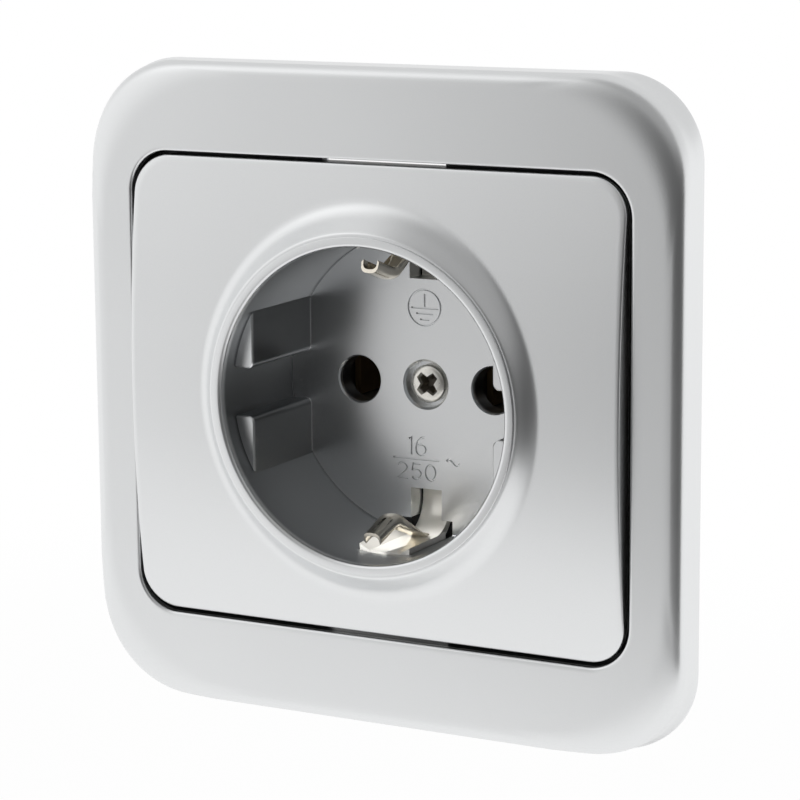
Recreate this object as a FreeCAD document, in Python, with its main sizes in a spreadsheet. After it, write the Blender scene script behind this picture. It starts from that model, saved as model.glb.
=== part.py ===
import FreeCAD, Part
import Sketcher
import os
import re

from FreeCAD import Vector

# Type F wall socket, in millimetres.
# X runs right, Y into the wall and Z up. The wall's surface is the plane Y = 0.
# The origin is on the axis of the round recess, where it crosses the wall's surface.

doc = FreeCAD.newDocument("type_f_wall_socket")
dims = doc.addObject("Spreadsheet::Sheet", "dims")

SIZES = {
    # Cover frame
    "frame_band": 6.55,
    "frame_corner": 12.0,
    "frame_height": 5.9,
    "frame_round": 2.5,
    "frame_wall": 2.0,
    "frame_skin": 2.7,
    "opening_corner": 5.3,
    "opening_round": 0.6,
    "opening_wall": 1.6,
    "ledge_front": 2.4,
    "ledge_back": 1.3,
    "ledge_width": 1.8,
    "ledge_notch": 17.0,
    # Centre plate and recess
    "plate_gap": 0.55,
    "plate_shoulder": 4.9,
    "plate_side": 4.6,
    "plate_edge": 5.4,
    "bow_radius": 184.607,
    "plate_thickness": 2.2,
    "plate_skirt": 1.6,
    "plate_round": 0.4,
    "rim_proud": 1.6,
    "rim_width": 1.25,
    "rim_round": 0.45,
    "rim_step": 0.25,
    "rim_ledge": 0.4,
    "flare_slope": 1.1,
    "flare_reach": 3.0,
    "flare_share": 0.3,
    "recess_radius": 19.5,
    "recess_depth": 17.5,
    "recess_wall": 1.9,
    "floor_thickness": 3.0,
    "pin_spacing": 19.0,
    "pin_hole_radius": 2.93,
    "rib_rise": 2.9,
    "rib_slot": 6.0,
    "rib_below_rim": 3.0,
    "rib_round": 0.8,
    # Centre screw
    "screw_radius": 1.4,
    "screw_clearance": 0.1,
    "screw_head_radius": 2.43,
    "screw_head_thickness": 1.7,
    "screw_head_crown": 0.5,
    "screw_pocket_radius": 2.95,
    "screw_pocket_depth": 2.0,
    "screw_length": 7.5,
    "cross_width": 0.8,
    "cross_length": 2.9,
    "cross_depth": 0.9,
    # Earth bracket and springs
    "strip_thickness": 1.0,
    "strip_width": 4.0,
    "leg_width": 7.0,
    "leg_flat": 4.2,
    "leg_edge_lift": 0.8,
    "leg_inset": 0.3,
    "leg_front": 3.0,
    "bend_radius": 4.5,
    "bridge_width": 9.0,
    "bridge_length": 25.0,
    "collar_radius": 3.0,
    "collar_length": 4.0,
    "earth_tab_width": 4.0,
    "earth_tab_place": 8.0,
    "slot_play": 0.2,
    "slot_run": 6.1,
    "slot_head": 2.2,
    "spring_width": 2.6,
    "spring_thickness": 0.6,
    "spring_upright": 0.78,
    "spring_run": 3.4,
    "nose_place": 1.2,
    "nose_flat": 1.0,
    "nose_rise": 4.8,
    "nose_round": 1.4,
    "tip_place": 5.2,
    "tip_rise": 3.1,
    "tip_curl": 1.1,
    # Support ring
    "ring_margin": 3.25,
    "ring_corner": 8.0,
    "ring_thickness": 1.0,
    "ring_play": 0.4,
    "ring_relief_width": 18.0,
    "ring_relief_depth": 7.7,
    "box_room": 3.2,
    "box_slot_radius": 2.0,
    "box_slot_length": 6.0,
    # Contact base
    "base_wall": 1.2,
    "base_brow": 1.8,
    "base_corner": 11.0,
    "base_depth": 32.0,
    "base_edge": 0.8,
    "base_back_wall": 3.5,
    "seat_play": 0.3,
    # Rivets
    "rivet_margin": 3.3487,
    "rivet_radius": 1.0,
    "rivet_head_radius": 2.0,
    "rivet_head_thickness": 0.8,
    "rivet_length": 6.0,
    # Pin contacts and terminals
    "leaf_gap": 5.0,
    "leaf_thickness": 0.8,
    "leaf_drop": 3.0,
    "leaf_rise": 3.0,
    "contact_front": 13.0,
    "terminal_room": 8.0,
    "tail_thickness": 1.0,
    "tail_width": 8.0,
    "tail_length": 15.0,
    "terminal_place": 14.0,
    "terminal_play": 1.2,
    "wire_gap": 2.2,
    "clamp_thickness": 1.0,
    "clamp_side": 8.0,
    "terminal_head_radius": 2.9,
    "terminal_head_thickness": 2.0,
    "terminal_tip": 2.5,
    "driver_slot_width": 0.8,
    "driver_slot_depth": 0.9,
    # Spreader claws
    "claw_play": 0.3,
    "claw_thickness": 1.2,
    "claw_width": 10.0,
    "claw_short": 5.0,
    "claw_place": 6.5,
    "claw_tab_front": 2.2,
    "claw_tab_width": 5.0,
    "claw_tab_reach": 5.4,
    "claw_foot": 1.6,
    "claw_tooth": 2.0,
    "claw_screw_reach": 2.4,
    "claw_screw_radius": 1.2,
    "claw_screw_head": 2.4,
    "claw_screw_head_thickness": 1.6,
    "claw_screw_length": 15.0,
    "claw_swing_play": 0.8,
}

for row, (alias, size) in enumerate(SIZES.items(), start=1):
    dims.set(f"A{row}", alias.replace("_", " "))
    dims.set(f"B{row}", str(size))
    dims.setAlias(f"B{row}", alias)
doc.recompute()

FUNCTIONS = ("sqrt",)
# How far the middle of a quarter circle stays inside its corner, as a share of the radius.
CORNER_CUT = "(1 - sqrt(0.5))"
# The share of a slant at 45 degrees that shows in either direction.
SLANT = "sqrt(0.5)"


# An expression in plain words, such as "leg_width / 2", bound to the sheet.
def bound(text):
    def cell(word):
        name = word.group(0)
        return name if name in FUNCTIONS else "dims." + name

    return re.sub(r"[a-z_]+", cell, text)


def value(text):
    return float(dims.evalExpression(bound(text)))


# Heights above the wall count forward and depths behind it count back.
FLARE_START = "(recess_radius + rim_width + rim_ledge)"
PLATE_HALF_HEIGHT = f"({FLARE_START} + flare_reach + plate_shoulder)"
PLATE_HALF_WIDTH = f"({PLATE_HALF_HEIGHT} + plate_side)"
OPENING_TALL = f"({PLATE_HALF_HEIGHT} + plate_gap)"
OPENING_WIDE = f"({PLATE_HALF_WIDTH} + plate_gap)"
FRAME_HALF = f"({OPENING_WIDE} + frame_band)"
BOW = f"(bow_radius - sqrt(bow_radius * bow_radius - {PLATE_HALF_HEIGHT} * {PLATE_HALF_HEIGHT}))"
CROWN = f"(plate_edge + {BOW})"
RIM_FRONT = f"({CROWN} + rim_proud)"
FLOOR_DEPTH = f"(recess_depth - {RIM_FRONT})"
SEAT_DEPTH = f"({FLOOR_DEPTH} + floor_thickness)"
FLARE_ROUND = "(plate_shoulder * flare_share)"
RIB_FLAT = "(recess_radius - rib_rise)"
LEG_TOP = "(recess_radius - leg_inset)"
SLOT_TOP = "(recess_radius - slot_run)"
SLOT_STEP = "(recess_radius - slot_head)"
NOSE_REACH = "(recess_radius - nose_rise)"
TIP_REACH = "(recess_radius - tip_rise)"
CUP_RADIUS = "(recess_radius + recess_wall)"
RIVET_PLACE = f"({SLANT} * ({CUP_RADIUS} + rivet_margin))"
BRIDGE_BACK = f"({SEAT_DEPTH} + strip_thickness)"
BASE_HALF_WIDTH = f"({CUP_RADIUS} + seat_play + base_wall)"
BASE_HALF_HEIGHT = f"({CUP_RADIUS} + seat_play + base_brow)"
CONTACT_BACK = "(base_depth - terminal_room)"
TAIL_FRONT = "(base_depth - terminal_room - tail_thickness)"
CLAMP_FRONT = f"({CONTACT_BACK} + wire_gap)"
HEAD_FRONT = f"({CLAMP_FRONT} + clamp_thickness)"
SPRING_END = f"({SEAT_DEPTH} - bend_radius - slot_play)"
CLAW_INNER = f"({BASE_HALF_WIDTH} + claw_play)"
CLAW_OUTER = f"({CLAW_INNER} + claw_thickness)"
CLAW_END = "(base_depth - claw_short)"
CLAW_SCREW = f"({CLAW_OUTER} + claw_screw_reach)"
BOX_PLACE = f"({CLAW_SCREW} + box_room)"


def new_body(label):
    body = doc.addObject("PartDesign::Body", label)
    body.Label = label
    return body


# Planes: XZ_Plane is seen from the front (X, Z) and its level counts forward, out of the wall.
# XY_Plane is seen from above (X, Y) and its level counts up. YZ_Plane is the side view (Y, Z).
def new_sketch(body, plane, level="0"):
    sketch = body.newObject("Sketcher::SketchObject", f"{body.Label}_sketch")
    origin_plane = next(item for item in body.Origin.OriginFeatures if item.Role == plane)
    sketch.AttachmentSupport = [(origin_plane, "")]
    sketch.MapMode = "FlatFace"
    sketch.setExpression(".AttachmentOffset.Base.z", bound(level))
    return sketch


def drive(sketch, constraint, text):
    index = sketch.addConstraint(constraint)
    sketch.setExpression(f"Constraints[{index}]", bound(text))


def pin_point(sketch, geometry, end, pair):
    across, along = pair
    drive(sketch, Sketcher.Constraint("DistanceX", -1, 1, geometry, end, value(across)), across)
    drive(sketch, Sketcher.Constraint("DistanceY", -1, 1, geometry, end, value(along)), along)


def place(pair):
    return Vector(value(pair[0]), value(pair[1]), 0)


# A closed outline. A corner is (across, along).
# A third entry bows the edge to the next corner through a place.
def add_outline(sketch, corners):
    first = sketch.GeometryCount
    count = len(corners)
    ends = []
    for index, corner in enumerate(corners):
        start, end = place(corner), place(corners[(index + 1) % count])
        anticlockwise = True
        if len(corner) == 2:
            sketch.addGeometry(Part.LineSegment(start, end), False)
        else:
            middle = place(corner[2])
            anticlockwise = (middle - start).cross(end - middle).z > 0
            # A sketch's arcs run anticlockwise, so one that turns the other way is drawn from its far end.
            order = (start, middle, end) if anticlockwise else (end, middle, start)
            sketch.addGeometry(Part.Arc(*order), False)
        ends.append((1, 2) if anticlockwise else (2, 1))
    for index, corner in enumerate(corners):
        following = (index + 1) % count
        sketch.addConstraint(Sketcher.Constraint(
            "Coincident", first + index, ends[index][1], first + following, ends[following][0]))
        pin_point(sketch, first + index, ends[index][0], corner[:2])
    for index, corner in enumerate(corners):
        if len(corner) == 3:
            point = sketch.addGeometry(Part.Point(place(corner[2])), True)
            pin_point(sketch, point, 1, corner[2])
            sketch.addConstraint(Sketcher.Constraint("PointOnObject", point, 1, first + index))


def add_rectangle(sketch, left, right, low, high):
    add_outline(sketch, [(left, low), (right, low), (right, high), (left, high)])


# A rectangle about the axis with rounded corners.
def add_rounded_rectangle(sketch, wide, tall, radius):
    corners = []
    for across, up, turn in (("", "-", 1), ("", "", -1), ("-", "", 1), ("-", "-", -1)):
        before = (f"{across}({wide} - {radius})", f"{up}({tall})")
        after = (f"{across}({wide})", f"{up}({tall} - {radius})")
        cut_in = f"{CORNER_CUT} * ({radius})"
        middle = (f"{across}({wide} - {cut_in})", f"{up}({tall} - {cut_in})")
        start, end = (before, after) if turn > 0 else (after, before)
        corners += [(*start, middle), end]
    add_outline(sketch, corners)


def add_circle(sketch, across, along, radius):
    centre = Vector(value(across), value(along), 0)
    index = sketch.addGeometry(Part.Circle(centre, Vector(0, 0, 1), value(radius)), False)
    pin_point(sketch, index, 3, (across, along))
    drive(sketch, Sketcher.Constraint("Radius", index, value(radius)), radius)


def add_slot(sketch, across, along, half_length, radius):
    # A slot that runs across, with round ends: its two long edges are joined by half circles.
    left, right = f"{across} - ({half_length})", f"{across} + ({half_length})"
    low, high = f"{along} - {radius}", f"{along} + {radius}"
    add_outline(sketch, [
        (left, low),
        (right, low, (f"{right} + {radius}", along)),
        (right, high),
        (left, high, (f"{left} - {radius}", along)),
    ])


def feature(body, kind, sketch, length=None, **settings):
    made = body.newObject(f"PartDesign::{kind}", f"{body.Label}_{kind.lower()}")
    made.Profile = sketch
    for name, setting in settings.items():
        setattr(made, name, setting)
    if length is not None:
        made.setExpression("Length", bound(length))
    sketch.Visibility = False
    doc.recompute()
    return made


# A pad goes forward from a front-view sketch, and back with into_wall.
def pad(body, sketch, length, into_wall=False):
    return feature(body, "Pad", sketch, length, Reversed=into_wall)


def pad_both_ways(body, sketch, length):
    return feature(body, "Pad", sketch, length, SideType="Symmetric")


def cut(body, sketch, length, into_wall=True, both_ways=False):
    before = body.Shape.Volume
    side = "Symmetric" if both_ways else "One side"
    made = feature(body, "Pocket", sketch, length, Reversed=not into_wall, SideType=side)
    if not made.Shape.Volume < before:
        raise RuntimeError(f"a cut in {body.Label} removes nothing")
    return made


def revolve(body, sketch):
    return feature(body, "Revolution", sketch, ReferenceAxis=(sketch, ["V_Axis"]), Angle=360)


# Edges of the body's present shape that pass a test on the edge.
def edges_where(body, test):
    return [f"Edge{number}" for number, edge in enumerate(body.Shape.Edges, start=1) if test(edge)]


def round_edges(body, test, radius, kind="Fillet"):
    names = edges_where(body, test)
    if not names:
        raise RuntimeError(f"no edge to round in {body.Label}")
    made = body.newObject(f"PartDesign::{kind}", f"{body.Label}_{kind.lower()}")
    made.Base = (body.Tip if made is not body.Tip else made.BaseFeature, names)
    made.setExpression("Radius" if kind == "Fillet" else "Size", bound(radius))
    doc.recompute()
    return made


TOUCH = 0.001


def near(first, second):
    return abs(first - second) < TOUCH


# An edge along Y whose X and Z are the given places, whatever their sign.
def runs_back_at(edge, across, up):
    box = edge.BoundBox
    upright = box.XLength < TOUCH and box.ZLength < TOUCH
    return upright and near(abs(box.Center.x), across) and near(abs(box.Center.z), up)


# An edge that lies in the plane at one height in front of the wall.
def lies_at_height(edge, height):
    box = edge.BoundBox
    return box.YLength < TOUCH and near(box.YMin, -height)


# An edge along X at one distance above or below the axis.
def along_x_at(edge, up):
    box = edge.BoundBox
    return box.YLength < TOUCH and box.ZLength < TOUCH and near(abs(box.ZMin), up)


# Cover frame: a pillow-edged square, hollow behind, with a ledge all round its opening.
def make_cover_frame():
    body = new_body("cover_frame")
    outline = new_sketch(body, "XZ_Plane")
    add_rounded_rectangle(outline, FRAME_HALF, FRAME_HALF, "frame_corner")
    pad(body, outline, "frame_height")
    height = value("frame_height")
    round_edges(body, lambda edge: lies_at_height(edge, height), "frame_round")

    # The opening down to the ledge, then the smaller one through it.
    wide, tall = OPENING_WIDE, OPENING_TALL
    front = new_sketch(body, "XZ_Plane", "frame_height")
    add_rounded_rectangle(front, wide, tall, "opening_corner")
    cut(body, front, "frame_height - ledge_front")
    reach = value(wide) + TOUCH

    def opening_edge(edge):
        box = edge.BoundBox
        return lies_at_height(edge, height) and -reach < box.XMin and box.XMax < reach

    round_edges(body, opening_edge, "opening_round")
    through = new_sketch(body, "XZ_Plane", "frame_height")
    inner_wide, inner_tall = f"{wide} - ledge_width", f"{tall} - ledge_width"
    add_rounded_rectangle(through, inner_wide, inner_tall, "(opening_corner - ledge_width)")
    cut(body, through, "frame_height")

    # Room behind for the support ring, then a deeper channel round the opening's wall.
    inner = f"{FRAME_HALF} - frame_wall"
    room = new_sketch(body, "XZ_Plane")
    add_rounded_rectangle(room, inner, inner, "(frame_corner - frame_wall)")
    cut(body, room, "ledge_back", into_wall=False)
    channel = new_sketch(body, "XZ_Plane")
    outer = f"{FRAME_HALF} - frame_skin"
    add_rounded_rectangle(channel, outer, outer, "(frame_corner - frame_skin)")
    wall_wide, wall_tall = f"{wide} + opening_wall", f"{tall} + opening_wall"
    add_rounded_rectangle(channel, wall_wide, wall_tall, "(opening_corner + opening_wall)")
    cut(body, channel, "frame_height - frame_skin", into_wall=False)

    # Notches in the ledge, top and bottom, to take a lifting blade.
    notch = new_sketch(body, "XZ_Plane")
    notch_end = f"({inner_tall} - ledge_width / 2)"
    for low, high in ((f"-{tall}", f"-{notch_end}"), (notch_end, tall)):
        add_rectangle(notch, "-ledge_notch / 2", "ledge_notch / 2", low, high)
    cut(body, notch, "ledge_front", into_wall=False)
    return body


# Centre plate: bowed plate, flared rim, recess, ribs, holes and slots in one moulding.
def make_centre_plate():
    body = new_body("centre_plate")
    wide, tall = PLATE_HALF_WIDTH, PLATE_HALF_HEIGHT
    side_view = new_sketch(body, "YZ_Plane")
    add_outline(side_view, [
        ("-ledge_front", f"-{tall}"),
        ("-plate_edge", f"-{tall}", (f"-{CROWN}", "0")),
        ("-plate_edge", tall),
        ("-ledge_front", tall),
    ])
    pad_both_ways(body, side_view, f"2 * {wide}")
    across, up = value(wide), value(tall)
    round_edges(body, lambda edge: runs_back_at(edge, across, up), "opening_corner - plate_gap")

    def front_edge(edge):
        return edge.BoundBox.YMax < -value("ledge_front") - TOUCH

    round_edges(body, front_edge, "plate_round")

    # Hollow behind, following the bow.
    hollow_up = f"({tall} - plate_skirt)"
    hollow = new_sketch(body, "YZ_Plane")
    add_outline(hollow, [
        ("0", f"-{hollow_up}"),
        ("plate_thickness - plate_edge", f"-{hollow_up}", (f"plate_thickness - {CROWN}", "0")),
        ("plate_thickness - plate_edge", hollow_up),
        ("0", hollow_up),
    ])
    cut(body, hollow, f"2 * ({wide} - plate_skirt)", both_ways=True)
    bore = new_sketch(body, "XZ_Plane", CROWN)
    add_circle(bore, "0", "0", "recess_radius")
    cut(body, bore, f"2 * {CROWN}")

    # Rim, recess wall and floor, turned about the recess axis.
    rim_outer = "(recess_radius + rim_width)"
    profile = new_sketch(body, "XY_Plane")
    flare_top = f"(rim_step - {RIM_FRONT})"
    flare_foot = f"({flare_top} + flare_slope * flare_reach)"
    add_outline(profile, [
        ("0", FLOOR_DEPTH),
        ("recess_radius", FLOOR_DEPTH),
        ("recess_radius", f"-{RIM_FRONT}"),
        (rim_outer, f"-{RIM_FRONT}"),
        (rim_outer, flare_top),
        (FLARE_START, flare_top),
        (f"{FLARE_START} + flare_reach", flare_foot),
        (CUP_RADIUS, flare_foot),
        (CUP_RADIUS, SEAT_DEPTH),
        ("0", SEAT_DEPTH),
    ])
    revolve(body, profile)
    top, foot = value(flare_top), value(flare_foot)
    start = value(FLARE_START)
    rim_height, mouth = value(RIM_FRONT), value("recess_radius")

    def flare_root(edge):
        box = edge.BoundBox
        reach = max(box.XMax, -box.XMin, box.ZMax, -box.ZMin)
        between = start + TOUCH < reach < start + value("flare_reach") + TOUCH
        level = top + TOUCH < box.YMin and box.YMax < foot - TOUCH
        return between and level and edge.Length > value("flare_reach")

    def rim_edge(edge):
        inner = lies_at_height(edge, rim_height) and near(edge.BoundBox.XMax, mouth)
        return inner or lies_at_height(edge, -top) and near(edge.BoundBox.XMax, start)

    round_edges(body, flare_root, FLARE_ROUND)
    round_edges(body, rim_edge, "rim_round")

    # Guide ribs, two each side of the recess.
    rib_front = f"({RIM_FRONT} - rib_below_rim)"
    rib_out = "(recess_radius + recess_wall / 2)"
    low_out = f"sqrt({rib_out} * {rib_out} - rib_slot * rib_slot / 4)"
    rib_top = f"sqrt({rib_out} * {rib_out} - {RIB_FLAT} * {RIB_FLAT})"
    middle = f"(({low_out} + {RIB_FLAT}) / 2)"
    middle_up = f"sqrt({rib_out} * {rib_out} - {middle} * {middle})"
    for side in ("", "-"):
        for up in ("", "-"):
            rib = new_sketch(body, "XZ_Plane", f"-{SEAT_DEPTH}")
            add_outline(rib, [
                (side + RIB_FLAT, f"{up}rib_slot / 2"),
                (f"{side}{low_out}", f"{up}rib_slot / 2", (f"{side}{middle}", f"{up}{middle_up}")),
                (side + RIB_FLAT, f"{up}{rib_top}"),
            ])
            pad(body, rib, f"{SEAT_DEPTH} + {rib_front}")
    rib_across, rib_up = value(RIB_FLAT), value("rib_slot / 2")
    round_edges(body, lambda edge: runs_back_at(edge, rib_across, rib_up), "rib_round")

    # Pin holes, and the screw's pocket and hole.
    holes = new_sketch(body, "XZ_Plane", f"-{FLOOR_DEPTH}")
    for side in ("", "-"):
        add_circle(holes, f"{side}pin_spacing / 2", "0", "pin_hole_radius")
    add_circle(holes, "0", "0", "screw_radius + screw_clearance")
    cut(body, holes, "floor_thickness")
    pocket = new_sketch(body, "XZ_Plane", f"-{FLOOR_DEPTH}")
    add_circle(pocket, "0", "0", "screw_pocket_radius")
    cut(body, pocket, "screw_pocket_depth")

    # T-shaped slots in the floor for the earth contacts, and the groove up the wall for their legs.
    neck = "(strip_width / 2 + slot_play)"
    head = "(leg_width / 2 + slot_play)"
    groove = f"({LEG_TOP} + strip_thickness + slot_play)"
    for up in ("", "-"):
        slot = new_sketch(body, "XZ_Plane", f"-{SEAT_DEPTH}")
        add_rectangle(slot, f"-{neck}", neck, up + SLOT_TOP, up + SLOT_STEP)
        cut(body, slot, "floor_thickness", into_wall=False)
        leg = new_sketch(body, "XZ_Plane", f"-{SEAT_DEPTH}")
        add_rectangle(leg, f"-{head}", head, up + SLOT_STEP, up + groove)
        cut(body, leg, f"{SEAT_DEPTH} + leg_front + slot_play", into_wall=False)
    return body


# Centre screw: crowned head with a cross recess, plain shank.
def make_centre_screw():
    body = new_body("centre_screw")
    head_back = f"({FLOOR_DEPTH} + screw_pocket_depth)"
    head_front = f"({head_back} - screw_head_thickness)"
    edge_front = f"({head_front} + screw_head_crown)"
    dome = "((screw_head_radius * screw_head_radius / screw_head_crown + screw_head_crown) / 2)"
    half_way = "(screw_head_radius / 2)"
    half_drop = f"({dome} - sqrt({dome} * {dome} - {half_way} * {half_way}))"
    profile = new_sketch(body, "XY_Plane")
    add_outline(profile, [
        ("0", head_front, (half_way, f"{head_front} + {half_drop}")),
        ("screw_head_radius", edge_front),
        ("screw_head_radius", head_back),
        ("screw_radius", head_back),
        ("screw_radius", f"{head_back} + screw_length"),
        ("0", f"{head_back} + screw_length"),
    ])
    revolve(body, profile)
    for across, up in (("cross_length / 2", "cross_width / 2"), ("cross_width / 2", "cross_length / 2")):
        arm = new_sketch(body, "XZ_Plane", f"-{head_front}")
        add_rectangle(arm, f"-{across}", across, f"-{up}", up)
        cut(body, arm, "cross_depth")
    # The driver left the recess standing as an X.
    body.Placement.Rotation = FreeCAD.Rotation(Vector(0, 1, 0), 45)
    return body


# Earth bracket: one strip bent into two legs, with a threaded collar and a terminal tab.
def make_earth_bracket():
    body = new_body("earth_bracket")
    front, back = SEAT_DEPTH, BRIDGE_BACK
    top = f"({LEG_TOP} + strip_thickness)"
    turn = f"({top} - bend_radius - strip_thickness)"
    inner_turn = f"({front} - bend_radius)"
    outer_slant = f"{SLANT} * (bend_radius + strip_thickness)"
    inner_slant = f"{SLANT} * bend_radius"
    strip = new_sketch(body, "YZ_Plane")
    add_outline(strip, [
        (inner_turn, f"-{top}", (f"{inner_turn} + {outer_slant}", f"-({turn} + {outer_slant})")),
        (back, f"-{turn}"),
        (back, turn, (f"{inner_turn} + {outer_slant}", f"{turn} + {outer_slant}")),
        (inner_turn, top),
        ("-leg_front", top),
        ("-leg_front", LEG_TOP),
        (inner_turn, LEG_TOP, (f"{inner_turn} + {inner_slant}", f"{turn} + {inner_slant}")),
        (front, turn),
        (front, f"-{turn}", (f"{inner_turn} + {inner_slant}", f"-({turn} + {inner_slant})")),
        (inner_turn, f"-{LEG_TOP}"),
        ("-leg_front", f"-{LEG_TOP}"),
        ("-leg_front", f"-{top}"),
    ])
    pad_both_ways(body, strip, "strip_width")
    # Each leg is a shallow trough: its side edges are turned up towards the plug.
    inner_lift, outer_lift = f"({LEG_TOP} - leg_edge_lift)", f"({top} - leg_edge_lift)"
    for up in ("", "-"):
        leg = new_sketch(body, "XZ_Plane", "leg_front")
        add_outline(leg, [
            ("-leg_width / 2", up + inner_lift),
            ("-leg_flat / 2", up + LEG_TOP),
            ("leg_flat / 2", up + LEG_TOP),
            ("leg_width / 2", up + inner_lift),
            ("leg_width / 2", up + outer_lift),
            ("leg_flat / 2", up + top),
            ("-leg_flat / 2", up + top),
            ("-leg_width / 2", up + outer_lift),
        ])
        pad(body, leg, f"leg_front + {inner_turn}", into_wall=True)
    bridge = new_sketch(body, "YZ_Plane")
    add_rectangle(bridge, front, back, "-bridge_length / 2", "bridge_length / 2")
    pad_both_ways(body, bridge, "bridge_width")
    collar = new_sketch(body, "XZ_Plane", f"-{back}")
    add_circle(collar, "0", "0", "collar_radius")
    pad(body, collar, "collar_length", into_wall=True)
    thread = new_sketch(body, "XZ_Plane", f"-{front}")
    add_circle(thread, "0", "0", "screw_radius + screw_clearance")
    cut(body, thread, "strip_thickness + collar_length")

    # The terminal tab is lanced out of the strip, runs back and turns down.
    window = new_sketch(body, "XZ_Plane", f"-{front}")
    tab_low = "-(earth_tab_place + strip_thickness)"
    window_low = f"{tab_low} - earth_tab_width / 2"
    add_rectangle(window, "-strip_width / 2", "strip_width / 2", window_low, tab_low)
    cut(body, window, "strip_thickness")
    tail_end = "-(leaf_rise + tail_length)"
    tab = new_sketch(body, "YZ_Plane")
    add_outline(tab, [
        (front, "-earth_tab_place"),
        (front, tab_low),
        (TAIL_FRONT, tab_low),
        (TAIL_FRONT, tail_end),
        (CONTACT_BACK, tail_end),
        (CONTACT_BACK, "-earth_tab_place"),
    ])
    pad_both_ways(body, tab, "earth_tab_width")
    tail = new_sketch(body, "YZ_Plane")
    add_rectangle(tail, TAIL_FRONT, CONTACT_BACK, tail_end, tab_low)
    pad_both_ways(body, tail, "tail_width")
    hole = new_sketch(body, "XZ_Plane", f"-{TAIL_FRONT}")
    add_circle(hole, "0", "-terminal_place", "screw_radius + screw_clearance")
    cut(body, hole, "tail_thickness")
    return body


# Earth spring: a tongue that lies on a leg, rises to a nose and curls under at its tip.
def make_earth_spring(label, sign):
    body = new_body(label)
    nose_back = "(nose_flat / 2 - nose_place)"
    seat_end = f"({nose_back} + spring_run)"
    nose_front = "(-nose_flat / 2 - nose_place)"
    tip = "-tip_place"
    tip_slant = f"{SLANT} * spring_thickness"
    nose_top = f"({NOSE_REACH} + spring_upright)"
    inner = [
        (SPRING_END, f"({LEG_TOP} - spring_thickness)"),
        (seat_end, f"({LEG_TOP} - spring_thickness)"),
        (nose_back, NOSE_REACH),
        (nose_front, NOSE_REACH),
        (tip, TIP_REACH),
        (f"{tip} - tip_curl", f"({TIP_REACH} + tip_curl)"),
    ]
    outer = [
        (f"{tip} - tip_curl + {tip_slant}", f"({TIP_REACH} + tip_curl + {tip_slant})"),
        (f"{tip} + {tip_slant} / 2", f"({TIP_REACH} + spring_upright)"),
        (nose_front, nose_top),
        (nose_back, nose_top),
        (f"{seat_end} + spring_thickness", LEG_TOP),
        (SPRING_END, LEG_TOP),
    ]
    side_view = new_sketch(body, "YZ_Plane")
    add_outline(side_view, [(back, sign + up) for back, up in inner + outer])
    pad_both_ways(body, side_view, "spring_width")
    # The nose is bent, not folded: round inside and out.
    inside, outside = value(NOSE_REACH), value(nose_top)
    round_edges(body, lambda edge: along_x_at(edge, inside), "nose_round")
    round_edges(body, lambda edge: along_x_at(edge, outside), "nose_round - spring_thickness")
    return body


# Support ring: a flat steel plate on the wall that carries everything.
def make_support_ring():
    body = new_body("support_ring")
    half = f"({FRAME_HALF} - frame_wall - ring_margin)"
    outline = new_sketch(body, "XZ_Plane")
    add_rectangle(outline, f"-{half}", half, f"-{half}", half)
    pad(body, outline, "ring_thickness")
    side = value(half)
    round_edges(body, lambda edge: runs_back_at(edge, side, side), "ring_corner")
    cuts = new_sketch(body, "XZ_Plane", "ring_thickness")
    add_circle(cuts, "0", "0", f"{CUP_RADIUS} + ring_play")
    for side_sign in ("", "-"):
        slot_centre = side_sign + BOX_PLACE
        add_slot(cuts, slot_centre, "0", "box_slot_length / 2 - box_slot_radius", "box_slot_radius")
        claw_across, claw_up = f"{side_sign}{CLAW_SCREW}", f"{side_sign}claw_place"
        add_circle(cuts, claw_across, claw_up, "claw_screw_radius + claw_play")
        for up in ("", "-"):
            add_circle(cuts, side_sign + RIVET_PLACE, up + RIVET_PLACE, "rivet_radius + screw_clearance")
    cut(body, cuts, "ring_thickness")
    relief = new_sketch(body, "XZ_Plane", "ring_thickness")
    for low, high in ((f"{half} - ring_relief_depth", half), (f"-{half}", f"ring_relief_depth - {half}")):
        add_rectangle(relief, "-ring_relief_width / 2", "ring_relief_width / 2", low, high)
    cut(body, relief, "ring_thickness")
    return body


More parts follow.
